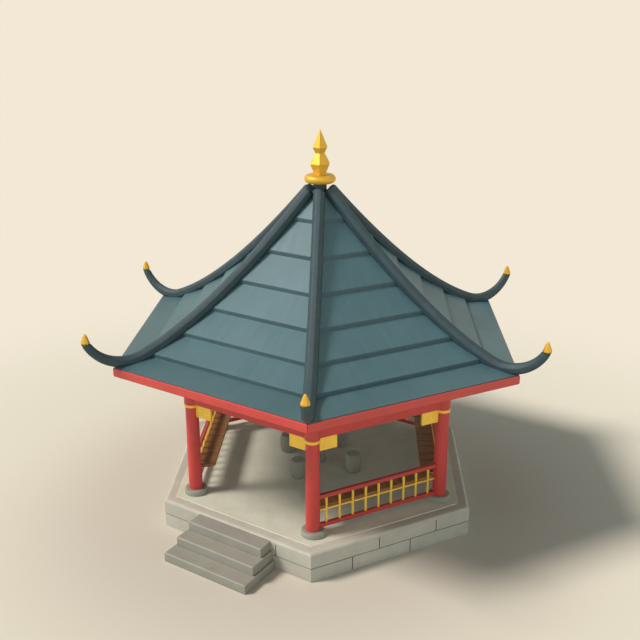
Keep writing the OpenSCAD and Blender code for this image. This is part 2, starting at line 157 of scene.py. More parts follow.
# Draws an outline of (out, up) points on the entrance side and pulls it along that side
def pullOutline(name, outline, halfLength):
    clearAll()
    bpy.ops.mesh.primitive_circle_add(vertices=len(outline), radius=1, fill_type="NGON")
    piece = nameInHand(name)
    edit(piece)
    mesh = bmesh.from_edit_mesh(piece.data)
    for corner, (out, up) in zip(mesh.verts, outline):
        corner.co = (-halfLength, -out, up)
    bmesh.update_edit_mesh(piece.data)
    bpy.ops.mesh.select_all(action="SELECT")
    pullPicked((2 * halfLength, 0, 0))
    tidyShell()
    return piece


def boxOutline(inner, outer, bottom, top):
    return [(inner, bottom), (outer, bottom), (outer, top), (inner, top)]


# Cuts both ends of a piece on the entrance side along the hips, each half a joint back
def mitreEnds(joint=0):
    for end in (-1, 1):
        across = Vector((end * flat, 0.5, 0))
        bpy.ops.mesh.select_all(action="SELECT")
        bpy.ops.mesh.bisect(plane_co=across * (-joint / 2), plane_no=across, use_fill=True, clear_outer=True)
    tidyShell()


# Sinks grooves across both faces of the board in hand, at each multiple of pitch along it
def cutGrooves(pitch, width, deep, facing):
    for number in range(-4, 5):
        for offset in (-width / 2, width / 2):
            bpy.ops.mesh.select_all(action="SELECT")
            bpy.ops.mesh.bisect(plane_co=(number * pitch + offset, 0, 0), plane_no=(1, 0, 0))
    for face in (-1, 1):
        pickFaces(lambda middle, normal: normal.dot(facing) * face > alike
                  and abs(middle.x - pitch * round(middle.x / pitch)) < hair)
        pullPicked(facing * (-face * deep))


# Adds a straight bar to the mesh in hand, its edges eased
def addBar(middle, size, ease):
    bpy.ops.mesh.select_all(action="DESELECT")
    bpy.ops.mesh.primitive_cube_add(size=1, location=middle, scale=size)
    bevelPicked(ease, 2)


def startMesh(name):
    clearAll()
    bpy.ops.mesh.primitive_cube_add(size=1)
    piece = nameInHand(name)
    edit(piece)
    bpy.ops.mesh.delete(type="VERT")
    return piece


# Copies a piece round the axis, each copy with a mesh of its own
def copyRound(piece, turns, names):
    pieces = []
    for turn, name in zip(turns, names):
        pickOnly(piece)
        bpy.ops.object.duplicate(linked=False)
        copy = nameInHand(name)
        copy.rotation_euler.z = math.radians(turn)
        bpy.ops.object.transform_apply(location=True, rotation=True, scale=True)
        pieces.append(copy)
    return pieces


def easeEdges(piece, width, segments=2, angle=35):
    pickOnly(piece)
    bevel = piece.modifiers.new("ease", "BEVEL")
    bevel.width = width
    bevel.segments = segments
    bevel.limit_method = "ANGLE"
    bevel.angle_limit = math.radians(angle)
    bpy.ops.object.modifier_apply(modifier=bevel.name)


def finishPiece(piece, finish, node, smooth=32):
    pickOnly(piece)
    bpy.ops.object.shade_smooth_by_angle(angle=math.radians(smooth))
    flatten = piece.modifiers.new("flatten", "WEIGHTED_NORMAL")
    flatten.keep_sharp = True
    bpy.ops.object.modifier_apply(modifier=flatten.name)
    piece.data.materials.clear()
    piece.data.materials.append(finish)
    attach(piece, "root")
    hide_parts(node)


def numbered(name, first=1, count=6):
    return [f"{name}_{number}" for number in range(first, first + count)]


# Finishes a piece on the entrance side and its copies on the other five
def finishRound(first, names, finish, node):
    for piece in [first, *copyRound(first, otherSides, names[1:])]:
        finishPiece(piece, finish, node)


# Puts copies on the five closed sides and leaves the entrance open
def finishClosed(pattern, names, finish, nodes):
    for piece, node in zip(copyRound(pattern, otherSides, names), nodes):
        finishPiece(piece, finish, node)
    bpy.data.objects.remove(pattern)


# Tools for the finishes
class Wire:                                  # a socket that takes part in sums; each sign adds its Math node
    def __init__(self, finish, socket):
        self.finish, self.socket = finish, socket

    def __add__(self, other):
        return self.finish.reckon("ADD", self, other)

    def __sub__(self, other):
        return self.finish.reckon("SUBTRACT", self, other)

    def __rsub__(self, other):
        return self.finish.reckon("SUBTRACT", other, self)

    def __mul__(self, other):
        return self.finish.reckon("MULTIPLY", self, other)

    def __truediv__(self, other):
        return self.finish.reckon("DIVIDE", self, other)

    def __gt__(self, other):
        return self.finish.reckon("GREATER_THAN", self, other)

    def __lt__(self, other):
        return self.finish.reckon("LESS_THAN", self, other)

    __radd__ = __add__

    def swing(self, amount):                 # a pattern from 0 to 1, made to swing round zero
        return (self - 0.5) * amount


class Finish:                                # the nodes of a material or of the world
    def __init__(self, owner):
        owner.use_nodes = True
        self.owner, self.tree = owner, owner.node_tree
        self.tree.nodes.clear()

    # A node of any type: its settings first, then the values or wires of its sockets
    def add(self, kind, settings, sockets, give=0):
        node = self.tree.nodes.new("ShaderNode" + kind)
        for setting, value in settings.items():
            setattr(node, setting, value)
        for socket, value in sockets.items():
            if isinstance(value, Wire):
                self.tree.links.new(value.socket, node.inputs[socket])
            else:
                node.inputs[socket].default_value = value
        if isinstance(give, tuple):
            return [Wire(self, node.outputs[name]) for name in give]
        return Wire(self, node.outputs[give])

    def reckon(self, operation, *values):
        return self.add("Math", {"operation": operation}, dict(enumerate(values)))

    def place(self):
        return self.add("TexCoord", {}, {}, "Object")

    def parts(self, vector):
        return self.add("SeparateXYZ", {}, {0: vector}, ("X", "Y", "Z"))

    def vector(self, x, y, z):
        return self.add("CombineXYZ", {}, {0: x, 1: y, 2: z})

    def stretch(self, vector, amounts):
        return self.add("VectorMath", {"operation": "MULTIPLY"}, {0: vector, 1: amounts})

    def noise(self, vector, scale, detail, roughness, distortion=0):
        return self.add("TexNoise", {}, {"Vector": vector, "Scale": scale, "Detail": detail,
                                         "Roughness": roughness, "Distortion": distortion})

    def chance(self, vector):                # one fixed value from 0 to 1 for each whole place
        return self.add("TexWhiteNoise", {}, {"Vector": vector}, "Value")

    def ease(self, value, start, end, low=0, high=1):
        return self.add("MapRange", {"interpolation_type": "SMOOTHSTEP"},
                        {"Value": value, "From Min": start, "From Max": end, "To Min": low, "To Max": high})

    def between(self, amount, first, second):
        return self.add("Mix", {"data_type": "RGBA"}, {0: amount, 6: first, 7: second}, 2)

    def tone(self, colour, amount):          # darkens or lightens a colour by a wire round 1
        return self.add("VectorMath", {"operation": "SCALE"}, {0: colour, "Scale": amount})

    def seen(self):                          # 1 for what the camera, gloss and glass see, 0 for plain light
        rays = self.add("LightPath", {}, {}, ("Is Camera Ray", "Is Glossy Ray", "Is Transmission Ray"))
        return self.reckon("MAXIMUM", self.reckon("MAXIMUM", rays[0], rays[1]), rays[2])

    # Which side a point belongs to, and its place on that side: along, out, up
    def sideSpace(self):
        x, y, up = self.parts(self.place())
        fromFirst = self.reckon("ARCTAN2", y, x) + math.radians(120)
        number = self.reckon("FLOOR", fromFirst / math.radians(60))
        facing = number * math.radians(60) - math.radians(90)
        cosine, sine = self.reckon("COSINE", facing), self.reckon("SINE", facing)
        return number, y * cosine - x * sine, x * cosine + y * sine, up

    def surface(self, colour, roughness, height, depth, metallic=0, coat=0, coatRoughness=0.3):
        relief = self.add("Bump", {}, {"Strength": 1, "Distance": depth, "Height": height})
        shader = self.add("BsdfPrincipled", {}, {
            "Base Color": colour, "Roughness": roughness, "Metallic": metallic, "Normal": relief,
            "Coat Weight": coat, "Coat Roughness": coatRoughness})
        self.add("OutputMaterial", {}, {"Surface": shader}, ())
        return self.owner


def startFinish(name):
    return Finish(bpy.data.materials.new(name))


def paint(code):                             # a colour from its six digits, as Blender counts light
    channels = [int(code[i:i + 2], 16) / 255 for i in (0, 2, 4)]
    return tuple(c / 12.92 if c <= 0.04045 else ((c + 0.055) / 1.055) ** 2.4 for c in channels) + (1,)


# Dressed stone: fine grain, flecks, soft stains and moss, and dirt drawn up from the ground.
# In every finish a pattern is given by its scale, detail, roughness and distortion.
stoneLook = {
    "grain": (95, 4, 0.65), "cloud": (1.6, 4, 0.6, 0.4), "fleck": (38, 2, 0.5), "moss": (2.7, 5, 0.7, 0.6),
    "grainTone": 0.30, "cloudTone": 0.34, "fleckTone": 0.10, "mossShare": 0.30,
    # The seat values paint light on stool tops.
    "tide": (5, 4, 0.6), "tideWave": 0.12, "tideTop": 0.17, "seatBand": 0.007, "seatLight": 0.5,
    "roughness": 0.78, "bump": 0.004,
}


def dressedStone(name, colours, wall=None, flight=None, seatZ=0, groundDirt=0):
    look = stoneLook
    finish = startFinish(name)
    place = finish.place()
    number, along, out, up = finish.sideSpace()
    grain = finish.noise(place, *look["grain"])
    cloud = finish.noise(place, *look["cloud"])
    fleck = finish.ease(finish.noise(place, *look["fleck"]), 0.60, 0.70)
    tone = 1 + cloud.swing(look["cloudTone"]) + grain.swing(look["grainTone"]) - fleck * look["fleckTone"]
    if wall:                                 # a tone for each block, dark joints, and painted light on the top and the lower course
        lowBlock, highBlock = [number * 2 + (along > first) + (along > second)
                               for first, second in (wall["lowJoints"], wall["highJoints"])]
        isHigh = up > wall["courseZ"]
        count = lowBlock + (highBlock - lowBlock) * isHigh + wall["blocks"]
        block = finish.chance(finish.vector(finish.reckon("MODULO", count, wall["blocks"]), isHigh, 0))
        inJoint = (out < platformFlat - wall["darkFrom"]) * (up < marginZ - wall["darkTop"])
        paintedLightFrom, paintedLightTo = marginZ - wall["paintedLightFrom"], marginZ - wall["paintedLightTo"]
        tone = tone * finish.ease(up, paintedLightFrom, paintedLightTo, 1, wall["paintedLightTone"])
        tone = tone * (1 - wall["blockTone"] / 2 + block * wall["blockTone"])
        tone = tone * (1 + wall["lowCourseLight"] - isHigh * wall["lowCourseLight"])
        tone = tone * (1 - inJoint * wall["jointTone"])
    if flight:                               # painted light and shade: darker risers, paler nosings and treads, and a dark line at the foot of each riser
        rise = flight["rise"]
        above = finish.reckon("MODULO", up + flight["treadLift"], rise)
        onTread = above < flight["treadBand"]
        inFoot = (above > flight["treadBand"]) * (above < flight["foot"])
        paintedLightFrom, paintedLightTo = rise - flight["paintedLightFrom"], rise - flight["paintedLightTo"]
        tone = tone * finish.ease(above, paintedLightFrom, paintedLightTo, *flight["paintedLightTones"])
        tone = tone * (1 + onTread * flight["treadLight"] - inFoot * flight["footShade"])
    if seatZ:                                # stool tops painted paler: painted light on the seats
        tone = tone * (1 + finish.reckon("COMPARE", up, seatZ, look["seatBand"]) * look["seatLight"])
    if groundDirt:
        wave = finish.noise(place, *look["tide"]).swing(look["tideWave"])
        tone = tone * (1 - finish.ease(up + wave, 0, look["tideTop"], 1, 0) * groundDirt)
    moss = finish.ease(finish.noise(place, *look["moss"]), 0.52, 0.72) * look["mossShare"]
    body = finish.between(moss, paint(colours[0]), paint(colours[1]))
    rough = look["roughness"] + grain.swing(0.25) + fleck * 0.08
    height = grain * 0.35 + cloud * 0.6 - fleck * 0.5
    return finish.surface(finish.tone(body, tone), rough, height, look["bump"])


# Brushed oil lacquer: drawn along the timber, clouded a little, with worn flecks
lacquerLook = {
    "brush": (60, 4, 0.6), "grain": (17, 3, 0.55, 0.6), "cloud": (1.9, 3, 0.55), "chips": (33, 4, 0.7),
    "brushTone": 0.14, "grainTone": 0.16, "cloudTone": 0.32, "chipShare": 0.55, "insideTone": 0.5,
    # The foot values paint shade along a lower arris, the head values a highlight along an upper one.
    "footShadeFrom": 0.008, "footShadeTo": 0.026, "footShade": 0.5, "highlightFrom": 0.026, "highlightTo": 0.018, "highlightTone": 1.2,
    "roughness": 0.44, "coatRoughness": 0.35, "bump": 0.0012,
}


def lacquer(name, colours, upright=False, inside=0, arrises=None, coat=0.12):
    look = lacquerLook
    finish = startFinish(name)
    place = finish.place()
    if upright:
        drawn = finish.stretch(place, (1, 1, 0.05))
    else:
        number, along, out, up = finish.sideSpace()
        drawn = finish.vector(along * 0.05 + number * 7, out, up)
    brush = finish.noise(drawn, *look["brush"])
    grain = finish.noise(drawn, *look["grain"])
    cloud = finish.noise(place, *look["cloud"])
    chips = finish.ease(finish.noise(place, *look["chips"]), 0.70, 0.76) * finish.ease(cloud, 0.45, 0.6)
    body = finish.between(chips * look["chipShare"], paint(colours[0]), paint(colours[1]))
    tone = 1 + cloud.swing(look["cloudTone"]) + grain.swing(look["grainTone"])
    tone = tone + brush.swing(look["brushTone"])
    if inside:                               # darker on the faces nearer the axis than this
        tone = tone * (1 - (out < inside) * look["insideTone"])
    if arrises:                              # painted shade along the lower arris, painted highlight along the upper
        foot, head = arrises
        tone = tone * finish.ease(up, foot + look["footShadeFrom"], foot + look["footShadeTo"], look["footShade"], 1)
        tone = tone * finish.ease(up, head - look["highlightFrom"], head - look["highlightTo"], 1, look["highlightTone"])
    rough = look["roughness"] + cloud.swing(0.25) + brush.swing(0.2) + chips * 0.2
    height = brush * 0.35 + grain * 0.5 - chips * 0.6
    return finish.surface(finish.tone(body, tone), rough, height, look["bump"], coat=coat,
                          coatRoughness=look["coatRoughness"])


# Gold paint and gilt metal: leaf laid in patches, rubbed thinner and browner in places
giltLook = {
    "leaf": 9, "cloud": (6, 4, 0.6, 0.5), "grain": (70, 3, 0.6), "rubbing": (19, 5, 0.7, 0.8),
    "leafTone": 0.05, "cloudTone": 0.22, "grainTone": 0.12, "rubbedShare": 0.55, "bump": 0.0015,
}


def gilding(name, colours, metallic, roughness):
    look = giltLook
    finish = startFinish(name)
    place = finish.place()
    squares = finish.stretch(place, (look["leaf"],) * 3)
    leaf = finish.chance(finish.add("VectorMath", {"operation": "FLOOR"}, {0: squares}))
    cloud = finish.noise(place, *look["cloud"])
    grain = finish.noise(place, *look["grain"])
    rubbing = finish.ease(finish.noise(place, *look["rubbing"]), 0.55, 0.78)
    body = finish.between(rubbing * look["rubbedShare"], paint(colours[0]), paint(colours[1]))
    tone = 1 + leaf.swing(look["leafTone"]) + cloud.swing(look["cloudTone"]) + grain.swing(look["grainTone"])
    rough = roughness + cloud.swing(0.22) + grain.swing(0.16) + rubbing * 0.1
    height = grain * 0.4 + cloud * 0.6 - rubbing * 0.4
    return finish.surface(finish.tone(body, tone), rough, height, look["bump"], metallic)


# Slate-blue plates: a tone for each, rain streaks down the slope, and painted shade in a dark line at each
# lip and along the eave
slateLook = {
    "streaks": (9, 5, 0.62), "fine": (42, 3, 0.6), "cloud": (0.9, 4, 0.6, 0.5), "grain": (85, 3, 0.6),
    "streakTone": 0.22, "fineTone": 0.10, "grainTone": 0.12, "plateTone": 0.10, "paleShare": 0.5,
    # The line values paint shade at each lip, the edge values along the eave.
    "lipShadeFrom": 0.013, "lipShadeTo": 0.003, "lipShade": 0.35, "eaveShadeFrom": 0.006, "eaveShade": 0.5,
    "roughness": 0.50, "bump": 0.003,
}


def roofPlates(name, colours, lipOuts, eaveOut):
    look = slateLook
    finish = startFinish(name)
    place = finish.place()
    number, along, out, up = finish.sideSpace()
    course = sum(out > lipOut for lipOut in lipOuts)
    plate = finish.chance(finish.vector(course, number, 3))
    down = finish.vector(along + number * 11, out * 0.07, up * 0.07)
    streaks = finish.noise(down, *look["streaks"])
    fine = finish.noise(down, *look["fine"])
    cloud = finish.noise(place, *look["cloud"])
    grain = finish.noise(place, *look["grain"])
    paleness = finish.ease(cloud + streaks.swing(0.5), 0.30, 0.75) * look["paleShare"]
    body = finish.between(paleness, paint(colours[0]), paint(colours[1]))
    tone = 1 + streaks.swing(look["streakTone"]) + fine.swing(look["fineTone"])
    tone = tone + grain.swing(look["grainTone"])
    tone = tone * (1 - look["plateTone"] / 2 + plate * look["plateTone"])
    # painted shade at each lip and along the eave
    for lipOut in lipOuts:
        inLipShade = (out > lipOut - look["lipShadeFrom"]) * (out < lipOut + look["lipShadeTo"])
        tone = tone * (1 - inLipShade * look["lipShade"])
    tone = tone * (1 - (out > eaveOut - look["eaveShadeFrom"]) * look["eaveShade"])
    rough = look["roughness"] + streaks.swing(0.3) + grain.swing(0.2)
    height = grain * 0.3 + fine * 0.35 + cloud * 0.5
    return finish.surface(finish.tone(body, tone), rough, height, look["bump"])


# Fired ridge tile: dark, close grained, washed by rain
tileLook = {
    "cloud": (3.2, 5, 0.62, 0.6), "grain": (75, 4, 0.65), "pits": (44, 2, 0.5),
    "grainTone": 0.3, "pitTone": 0.14, "washedShare": 0.55, "roughness": 0.6, "bump": 0.003,
}


def ridgeTile(name, colours):
    look = tileLook
    finish = startFinish(name)
    place = finish.place()
    cloud = finish.noise(place, *look["cloud"])
    grain = finish.noise(place, *look["grain"])
    pits = finish.ease(finish.noise(place, *look["pits"]), 0.64, 0.72)
    washed = finish.ease(cloud, 0.42, 0.72) * look["washedShare"]
    body = finish.between(washed, paint(colours[0]), paint(colours[1]))
    tone = 1 + grain.swing(look["grainTone"]) - pits * look["pitTone"]
    height = grain * 0.4 + cloud * 0.5 - pits * 0.6
    return finish.surface(finish.tone(body, tone), look["roughness"] + grain.swing(0.3), height, look["bump"])


# Oiled timber: rings stretched along the board, darker pores, and dark joints between cross boards
timberLook = {
    "rings": (26, 4, 0.6, 1.4), "pores": (130, 2, 0.5), "cloud": (2.4, 3, 0.5),
    "cloudTone": 0.3, "poreTone": 0.18, "boardTone": 0.16, "joint": 0.007, "jointTone": 0.65,
    "roughness": 0.55, "bump": 0.0015,
}


def timber(name, colours, upright=False, boardWidth=0):
    look = timberLook
    finish = startFinish(name)
    place = finish.place()
    if upright:
        drawn = finish.stretch(place, (1, 1, 0.08))
    else:
        number, along, out, up = finish.sideSpace()
        drawn = finish.vector(along * 0.06 + number * 5, out, up * 1.6)
    if boardWidth:                           # rings run across the length, and each board has its own
        board = finish.reckon("FLOOR", along / boardWidth)
        drawn = finish.vector(along + number * 5, out * 0.06 + board * 3, up * 1.6)
    rings = finish.noise(drawn, *look["rings"])
    pores = finish.ease(finish.noise(drawn, *look["pores"]), 0.56, 0.68)
    cloud = finish.noise(place, *look["cloud"])
    body = finish.between(finish.ease(rings, 0.35, 0.66), paint(colours[0]), paint(colours[1]))
    tone = 1 + cloud.swing(look["cloudTone"]) - pores * look["poreTone"]
    if boardWidth:
        inJoint = finish.reckon("PINGPONG", along, boardWidth / 2) < look["joint"]
        chance = finish.chance(finish.vector(board, number, 5))
        tone = tone * (1 - inJoint * look["jointTone"])
        tone = tone * (1 - look["boardTone"] / 2 + chance * look["boardTone"])
    rough = look["roughness"] + rings.swing(0.3) + pores * 0.1
    return finish.surface(finish.tone(body, tone), rough, rings * 0.5 - pores * 0.6, look["bump"])


# Platform
platform = {
    "stone": ("afa899", "989486"), "floor": ("d1ceb9", "bebea6"), "dirt": 0.05,
    "courseZ": high("platform_lower_course").z, "bedJoint": 0.010, "round": 0.080, "roundSteps": 5,
    "lowJoints": (-1.01, 0.44), "highJoints": (-0.35, 1.11), "jointWidth": 0.022, "jointDepth": 0.016,
    "ease": 0.006, "slabEase": 0.008, "slabDeep": 0.060,
    # The lower course and the top of the wall are painted paler: painted light.
    "blocks": 12, "blockTone": 0.10, "lowCourseLight": 0.06,                      # blocks round each course
    "jointTone": 0.72, "darkFrom": 0.0065, "darkTop": 0.07,                # in from the wall, below the top
    "paintedLightTone": 1.22, "paintedLightFrom": 0.06, "paintedLightTo": 0.01,                    # below the top
}
stoneGrey = dressedStone("platformStone", platform["stone"], wall=platform, groundDirt=platform["dirt"])
floorGrey = dressedStone("floorStone", platform["floor"])


# Cuts upright joints into the wall of each side, between two heights
def cutWallJoints(piece, places, lowZ, highZ):
    edit(piece)
    halfWidth = platform["jointWidth"] / 2
    for number in range(6):
        facing = math.radians(60 * number - 90)
        outward = Vector((math.cos(facing), math.sin(facing), 0))
        sideways = Vector((-outward.y, outward.x, 0))

        def onWall(middle, normal):
            return (normal.dot(outward) > alike and lowZ < middle.z < highZ
                    and middle.dot(outward) > platformFlat - hair)

        for place in places:
            for offset in (-halfWidth, halfWidth):
                pickFaces(onWall)
                bpy.ops.mesh.bisect(plane_co=sideways * (place + offset), plane_no=sideways)
            pickFaces(lambda middle, normal: onWall(middle, normal)
                      and abs(middle.dot(sideways) - place) < halfWidth)
            pullPicked(outward * -platform["jointDepth"])


bedR = cornerRadius(platformFlat - platform["bedJoint"])
bedLow, bedZ, bedHigh = [platform["courseZ"] + side * platform["bedJoint"] for side in (-1, 0, 1)]
lowerCourse = stackRings("lowerCourse", 6, [
    (platformR, 0), (platformR, bedLow), (bedR, bedLow), (bedR, bedZ)], turn=hexTurn)
cutWallJoints(lowerCourse, platform["lowJoints"], 0, bedLow)
easeEdges(lowerCourse, platform["ease"])
finishPiece(lowerCourse, stoneGrey, "platform_lower_course")

nosing = quarterRound(platformFlat, marginZ, platform["round"], platform["roundSteps"])
slabFoot = floorZ - platform["slabDeep"]
upperCourse = stackRings("upperCourse", 6, [
    (bedR, bedZ), (bedR, bedHigh), (platformR, bedHigh),
    *[(cornerRadius(out), up) for out, up in nosing], (floorR, marginZ), (floorR, slabFoot)], turn=hexTurn)
cutWallJoints(upperCourse, platform["highJoints"], bedHigh, marginZ - platform["round"])
easeEdges(upperCourse, platform["ease"])
finishPiece(upperCourse, stoneGrey, "platform_upper_course")

floorSlab = stackRings("floorSlab", 6, [(floorR, slabFoot), (floorR, floorZ)], turn=hexTurn)
easeEdges(floorSlab, platform["slabEase"], 3)
finishPiece(floorSlab, floorGrey, "floor_slab")
print("platform: two courses and the floor")

# Steps
steps = {
    "stone": ("989386", "888377"), "dirt": 0.05, "nodes": ("step_lower", "step_middle", "step_upper"),
    "rise": high("step_lower").z, "nosing": 0.030, "corner": 0.016, "intoWall": 0.02,
    # Painted light and shade: risers darker, nosings and treads paler, a dark line at each riser's foot.
    "paintedLightTones": (0.85, 1.12), "paintedLightFrom": 0.035, "paintedLightTo": 0.01,          # up the riser to its nosing
    "treadLight": 0.22, "treadBand": 0.003, "treadLift": 0.002, "foot": 0.016, "footShade": 0.3,
}
stepGrey = dressedStone("stepStone", steps["stone"], flight=steps, groundDirt=steps["dirt"])
stepBack = platformFlat - steps["intoWall"]
for node in steps["nodes"]:
    lowest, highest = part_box(node)
    tread = pullOutline(node + "Tread", boxOutline(stepBack, -lowest.y, lowest.z, highest.z), highest.x)
    pickEdges(lambda middle, direction: middle.z > highest.z - hair and middle.y < -stepBack - hair)
    bevelPicked(steps["nosing"], 4)
    pickEdges(lambda middle, direction: abs(direction.z) > alike and middle.y < -stepBack - hair)
    bevelPicked(steps["corner"], 2)
    finishPiece(tread, stepGrey, node)
print("steps:", len(steps["nodes"]))

# Columns
column = {
    "lacquer": ("bc3630", "892e29"), "stone": ("928f80", "7c7a6b"), "gold": ("f3c145", "c89731"),
    "sides": 64, "foot": 0.157, "neck": 0.146, "head": 0.165, "headEase": 0.006,
    "drum": 0.260, "drumRound": 0.045, "drumFoot": 0.009, "collarWidth": 0.022, "collarRound": 0.014,
    "collarSeat": 0.004,
}
columnRed = lacquer("columnLacquer", column["lacquer"], upright=True)
drumGrey = dressedStone("drumStone", column["stone"])
goldPaint = gilding("goldPaint", column["gold"], 0.25, 0.42)
columnRing = (high("column_bases").x - low("column_bases").x) / 2 - column["drum"]
columnFlat = columnRing * flat
sideHalf = columnRing / 2
firstColumn = (sideHalf, -columnFlat)
drumTop, columnTop = high("column_bases").z, high("columns").z
collarLow, collarHigh = low("column_collars").z, high("column_collars").z
neck, head, headEase = column["neck"], column["head"], column["headEase"]
firstShaft = stackRings("column_1", column["sides"], [
    (column["foot"], drumTop), (neck, collarLow), (neck, collarHigh), (head - headEase, collarHigh),
    (head, collarHigh + headEase), (head, columnTop)], at=firstColumn)
drumFoot = [(column["drum"] - column["drumFoot"], floorZ), (column["drum"], floorZ + column["drumFoot"])]
drumRim = quarterRound(column["drum"], drumTop, column["drumRound"], 5)
firstDrum = stackRings("drum_1", column["sides"], drumFoot + drumRim, at=firstColumn)
collarRim = quarterRound(neck + column["collarWidth"], collarHigh, column["collarRound"], 3)
collarFoot = [(radius, collarLow + collarHigh - height) for radius, height in reversed(collarRim)]
collarSeat = neck - column["collarSeat"]
firstCollar = stackRings("collar_1", column["sides"], [
    (collarSeat, collarLow), *collarFoot, *collarRim, (collarSeat, collarHigh)], at=firstColumn)
finishRound(firstShaft, numbered("column"), columnRed, "columns")
finishRound(firstDrum, numbered("drum"), drumGrey, "column_bases")
finishRound(firstCollar, numbered("collar"), goldPaint, "column_collars")
print("columns: 6 shafts, drums and collars")

# Beams, frieze, brackets and the timbers of the roof
beams = {
    "lacquer": ("b92f2a", "892b25"), "innerFace": 0.015, "rafters": ("6b4a3c", "50382e"),
    "tieThick": 0.180, "tieEase": 0.010, "boardThick": 0.040, "board": 0.292, "boardGap": 0.008,
    "boardDeep": 0.006, "bracketStart": 0.12, "bracketEnd": 0.562, "bracketHeight": 0.325,
    "bracketThick": 0.060, "bracketEase": 0.008, "underTie": 0.001, "endInColumn": 0.10,
}
beamRed = lacquer("beamLacquer", beams["lacquer"], inside=columnFlat - beams["innerFace"])
rafterBrown = timber("rafterTimber", beams["rafters"])
postBrown = timber("postTimber", beams["rafters"], upright=True)
tieLow, tieHigh = low("tie_beams").z, high("tie_beams").z
tieHalf, boardHalf = beams["tieThick"] / 2, beams["boardThick"] / 2
barHalf = sideHalf - beams["endInColumn"]    # half the length of what runs from column to column
tieOutline = boxOutline(columnFlat - tieHalf, columnFlat + tieHalf, tieLow, tieHigh)
tieBeam = pullOutline("tieBeam_1", tieOutline, barHalf)
easeEdges(tieBeam, beams["tieEase"], 3)
finishRound(tieBeam, numbered("tieBeam"), beamRed, "tie_beams")

friezeOutline = boxOutline(columnFlat - boardHalf, columnFlat + boardHalf, tieHigh, columnTop)
frieze = pullOutline("friezeBoards_1", friezeOutline, barHalf)
cutGrooves(beams["board"], beams["boardGap"], beams["boardDeep"], Vector((0, 1, 0)))
finishRound(frieze, numbered("friezeBoards"), beamRed, "frieze_boards")

bracketZ = low("bracket_plates").z + beams["bracketHeight"] / 2
bracketLength = beams["bracketEnd"] - beams["bracketStart"]
for end, firstNumber in ((1, 1), (-1, 7)):
    names = numbered("bracket", firstNumber)
    bracket = startMesh(names[0])
    addBar((end * (sideHalf - beams["bracketStart"] - bracketLength / 2), -columnFlat, bracketZ),
           (bracketLength, beams["bracketThick"], beams["bracketHeight"] - beams["underTie"]),
           beams["bracketEase"])
    tidyShell()
    finishRound(bracket, names, goldPaint, "bracket_plates")
for node, finish in (("eave_beams", beamRed), ("common_rafters", rafterBrown), ("hip_rafters", rafterBrown),
                     ("king_post", postBrown)):
    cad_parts[node].data.materials.clear()
    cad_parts[node].data.materials.append(finish)
print("beams, frieze boards and 12 brackets")

# Roof
roof = {
    "slate": ("44646a", "507077"), "boards": ("b0b6a8", "959b8e"),
    "lacquer": ("bf352c", "912d26"), "coat": 0.35,
    "foot": 4.045, "rise": 3.580, "power": 1.49, "crown": 0.170, "firstCourse": 0.736, "growth": 0.008,
    "courses": 7, "lip": 0.085, "lipRound": 0.012, "deck": 0.090, "fasciaThick": 0.080, "fasciaEase": 0.024,
    "fasciaArris": 0.002, "arrisAngle": 50, "innerFace": 0.07, "mitre": 0.006, "cover": 0.018,
    "coverEase": 0.005, "underside": -0.2,   # faces that look down further than this are boards
}
eaveFlat = eaveR * flat
slopeFlat = eaveFlat - roof["fasciaThick"]
slopeR = cornerRadius(slopeFlat)
coverFlat = eaveFlat - roof["fasciaEase"]
fasciaLow = low("eave_fascia_1").z


def roofZ(r):
    return roof["foot"] + roof["rise"] * max(0, 1 - r / slopeR) ** roof["power"]


def roofFall(r):                             # angle of the slope below level
    return math.atan(roof["rise"] * roof["power"] / slopeR * max(0, 1 - r / slopeR) ** (roof["power"] - 1))


# Corner radius at which course i starts: each is a little wider than the one above
def courseR(i):
    if i == 0:
        return roof["crown"]
    below = roof["courses"] - 1
    step = (slopeR - roof["firstCourse"] - roof["growth"] * below * (below - 1) / 2) / below
    return roof["firstCourse"] + (i - 1) * step + roof["growth"] * (i - 1) * (i - 2) / 2


courseEdges = [courseR(i) for i in range(roof["courses"] + 1)]
lips = [(r * flat, roofZ(r) + roof["lip"]) for r in courseEdges[1:-1]]
lips.append((coverFlat, fasciaTop + roof["cover"]))
slateBlue = roofPlates("roofSlate", roof["slate"], [out for out, up in lips[:-1]], coverFlat)
boardGrey = timber("deckBoards", roof["boards"])
fasciaRed = lacquer("fasciaLacquer", roof["lacquer"], inside=eaveFlat - roof["innerFace"],
                    arrises=(fasciaLow, fasciaTop), coat=roof["coat"])
outline = []
for r, lip in zip(courseEdges, lips):
    outline += [(r * flat, roofZ(r)), lip]
outline += [(coverFlat, fasciaTop), (slopeFlat, fasciaTop)]
outline += [(r * flat, roofZ(r) - roof["deck"]) for r in reversed(courseEdges)]
slope = pullOutline("roofSlope_1", outline, eaveR)
for picked, width in ((lips[:-1], roof["lipRound"]), (lips[-1:], roof["coverEase"])):
    pickEdges(lambda middle, direction: abs(direction.x) > alike
              and any(abs(-middle.y - out) < hair and abs(middle.z - up) < hair for out, up in picked))
    bevelPicked(width, 4)
mitreEnds()
slopes = [slope, *copyRound(slope, otherSides, numbered("roofSlope")[1:])]
for piece, node in zip(slopes, numbered("roof_slope")):
    finishPiece(piece, slateBlue, node)
    piece.data.materials.append(boardGrey)
    for face in piece.data.polygons:
        face.material_index = int(face.normal.z < roof["underside"])

fascia = pullOutline("fascia_1", boxOutline(slopeFlat, eaveFlat, fasciaLow, fasciaTop), eaveR)
pickEdges(lambda middle, direction: abs(direction.x) > alike and -middle.y > eaveFlat - hair)
bevelPicked(roof["fasciaEase"], 2)
mitreEnds(roof["mitre"])
easeEdges(fascia, roof["fasciaArris"], 1, roof["arrisAngle"])
fascias = [fascia, *copyRound(fascia, otherSides, numbered("fascia")[1:])]
for piece, node in zip(fascias, numbered("eave_fascia")):
    finishPiece(piece, fasciaRed, node)
print("roof: 6 slopes of", roof["courses"], "courses, 6 fascia boards")

